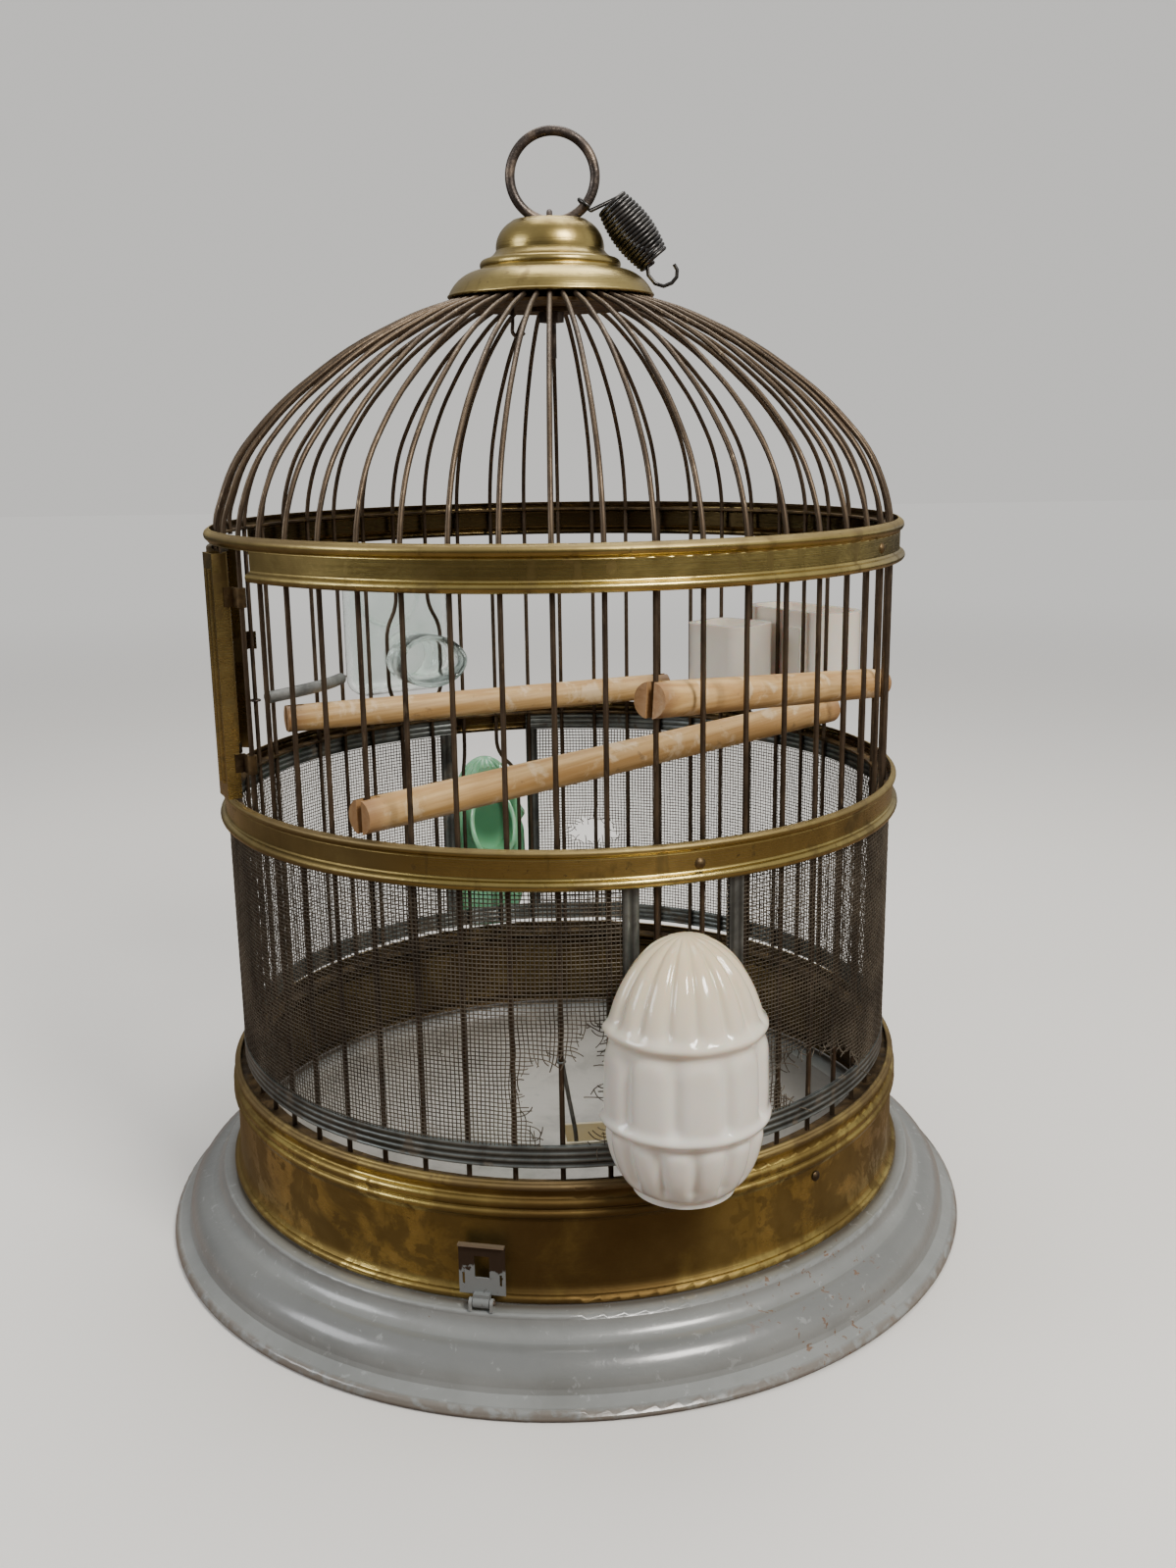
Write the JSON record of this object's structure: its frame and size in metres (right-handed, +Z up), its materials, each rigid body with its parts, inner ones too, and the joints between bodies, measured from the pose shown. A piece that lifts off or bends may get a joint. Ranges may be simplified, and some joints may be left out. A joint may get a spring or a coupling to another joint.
{
  "type": "bird cage",
  "caption": "Domed round brass wire bird cage on a painted tin base, with hinged door, perches, mesh seed guard, glass feeders and hanging ring.",
  "frame": {"origin": "centre of the base, on the surface it stands on", "axes": "+Z up, -Y towards the front of the cage, +X to the right seen from the front"},
  "size_m": [0.3602, 0.3602, 0.4642],
  "materials": {
    "tin_paint": "worn semi-gloss enamel",
    "galvanised": "dull galvanised",
    "dark_steel": "oxidised",
    "brass_sheet": "spun, tarnished lacquer",
    "dark_brass": "dark oxide",
    "brass_wire": "brown tarnish with rubbed flecks",
    "bronze_screen": "woven, dark",
    "perch_wood": "bare pine, worn",
    "zinc_tube": "dull zinc",
    "milk_glass": "opal gloss",
    "green_glass": "opal gloss",
    "clear_glass": "clear pressed",
    "cream_plastic": "aged gloss"
  },
  "bodies": {
    "base": {"base_pan": "tin_paint", "base_rim_wire": "galvanised", "clip_lugs": "tin_paint", "clip_pins": "dark_steel"},
    "front_clip": {"front_clip": "tin_paint"},
    "right_clip": {"right_clip": "tin_paint"},
    "left_clip": {"left_clip": "tin_paint"},
    "cage": {"skirt_band": "brass_sheet", "middle_band": "brass_sheet", "upper_band": "brass_sheet", "band_rivets": "brass_sheet", "skirt_hoop": "dark_brass", "middle_hoop": "dark_brass", "upper_hoop": "dark_brass", "cage_wires": "brass_wire", "crown_cap": "brass_sheet", "crown_plate": "dark_brass", "crown_bolt": "dark_steel", "crown_nut": "dark_steel", "crown_washer": "dark_brass", "crown_collar": "dark_brass", "swing_hook": "dark_steel", "guard_bottom_rail": "galvanised", "guard_top_rail_left": "galvanised", "guard_top_rail_right": "galvanised", "guard_stiles": "galvanised", "guard_screen_left": "bronze_screen", "guard_screen_right": "bronze_screen", "tube_perch": "zinc_tube", "tube_perch_hooks": "dark_steel"},
    "door": {"door_hinge_stile": "brass_sheet", "door_latch_stile": "brass_sheet", "door_rails": "brass_sheet", "door_wires": "brass_wire", "door_knuckles": "dark_brass", "door_latch": "brass_sheet"},
    "ring": {"hanging_ring": "dark_steel"},
    "spring": {"hanging_spring": "dark_steel"},
    "left_perch": {"perch_left": "perch_wood"},
    "front_perch": {"perch_front": "perch_wood"},
    "right_perch": {"perch_right": "perch_wood"},
    "front_feeder": {"front_feeder": "milk_glass"},
    "rear_feeder": {"rear_feeder": "green_glass"},
    "glass_feeder": {"glass_feeder": "clear_glass"},
    "inner_cup": {"inner_cup": "milk_glass"},
    "outer_cup": {"outer_cup": "milk_glass"},
    "seed_trough": {"seed_trough": "cream_plastic", "trough_hook": "dark_steel"}
  },
  "joints": [
    {"name": "cage_lift", "type": "slide", "parent": "base", "child": "cage", "axis": [0, 0, 1], "range_m": [0, 0.12]},
    {"name": "front_clip_swing", "type": "hinge", "parent": "base", "child": "front_clip", "pos_m": [-0.03102, -0.15248, 0.0316], "axis": [0.9799, -0.1994, 0], "range_deg": [0, 25]},
    {"name": "right_clip_swing", "type": "hinge", "parent": "base", "child": "right_clip", "pos_m": [0.14756, 0.04937, 0.0316], "axis": [-0.3173, 0.9483, 0], "range_deg": [0, 25]},
    {"name": "left_clip_swing", "type": "hinge", "parent": "base", "child": "left_clip", "pos_m": [-0.11654, 0.1031, 0.0316], "axis": [-0.6626, -0.749, 0], "range_deg": [0, 25]},
    {"name": "door_hinge", "type": "hinge", "parent": "cage", "child": "door", "pos_m": [-0.11905, -0.07555, 0.252], "axis": [0, 0, 1], "range_deg": [0, 110]},
    {"name": "ring_tilt", "type": "hinge", "parent": "cage", "child": "ring", "pos_m": [0.0015, 0, 0.42775], "axis": [1, 0, 0], "range_deg": [-40, 40]},
    {"name": "spring_slide_round_ring", "type": "hinge", "parent": "ring", "child": "spring", "pos_m": [0.0015, 0, 0.445], "axis": [0, -1, 0], "range_deg": [0, 60]},
    {"name": "left_perch_slide", "type": "slide", "parent": "cage", "child": "left_perch", "axis": [0, 0, 1], "range_m": [-0.0015, 0.004]},
    {"name": "front_perch_slide", "type": "slide", "parent": "cage", "child": "front_perch", "axis": [0, 0, 1], "range_m": [-0.001, 0.06]},
    {"name": "right_perch_slide", "type": "slide", "parent": "cage", "child": "right_perch", "axis": [0, 0, 1], "range_m": [-0.015, 0.025]},
    {"name": "front_feeder_pull", "type": "slide", "parent": "cage", "child": "front_feeder", "axis": [0.309, -0.9511, 0], "range_m": [0, 0.03]},
    {"name": "rear_feeder_pull", "type": "slide", "parent": "cage", "child": "rear_feeder", "axis": [-0.2756, 0.9613, 0], "range_m": [0, 0.03]},
    {"name": "glass_feeder_pull", "type": "slide", "parent": "cage", "child": "glass_feeder", "axis": [-0.5358, 0.8443, 0], "range_m": [0, 0.04]},
    {"name": "outer_cup_pull", "type": "slide", "parent": "cage", "child": "outer_cup", "axis": [0.7815, 0.6239, 0], "range_m": [0, 0.02]},
    {"name": "inner_cup_pull", "type": "slide", "parent": "cage", "child": "inner_cup", "axis": [-0.6845, -0.729, 0], "range_m": [0, 0.02]},
    {"name": "trough_slide", "type": "slide", "parent": "cage", "child": "seed_trough", "axis": [0, 0, 1], "range_m": [0, 0.02]}
  ]
}
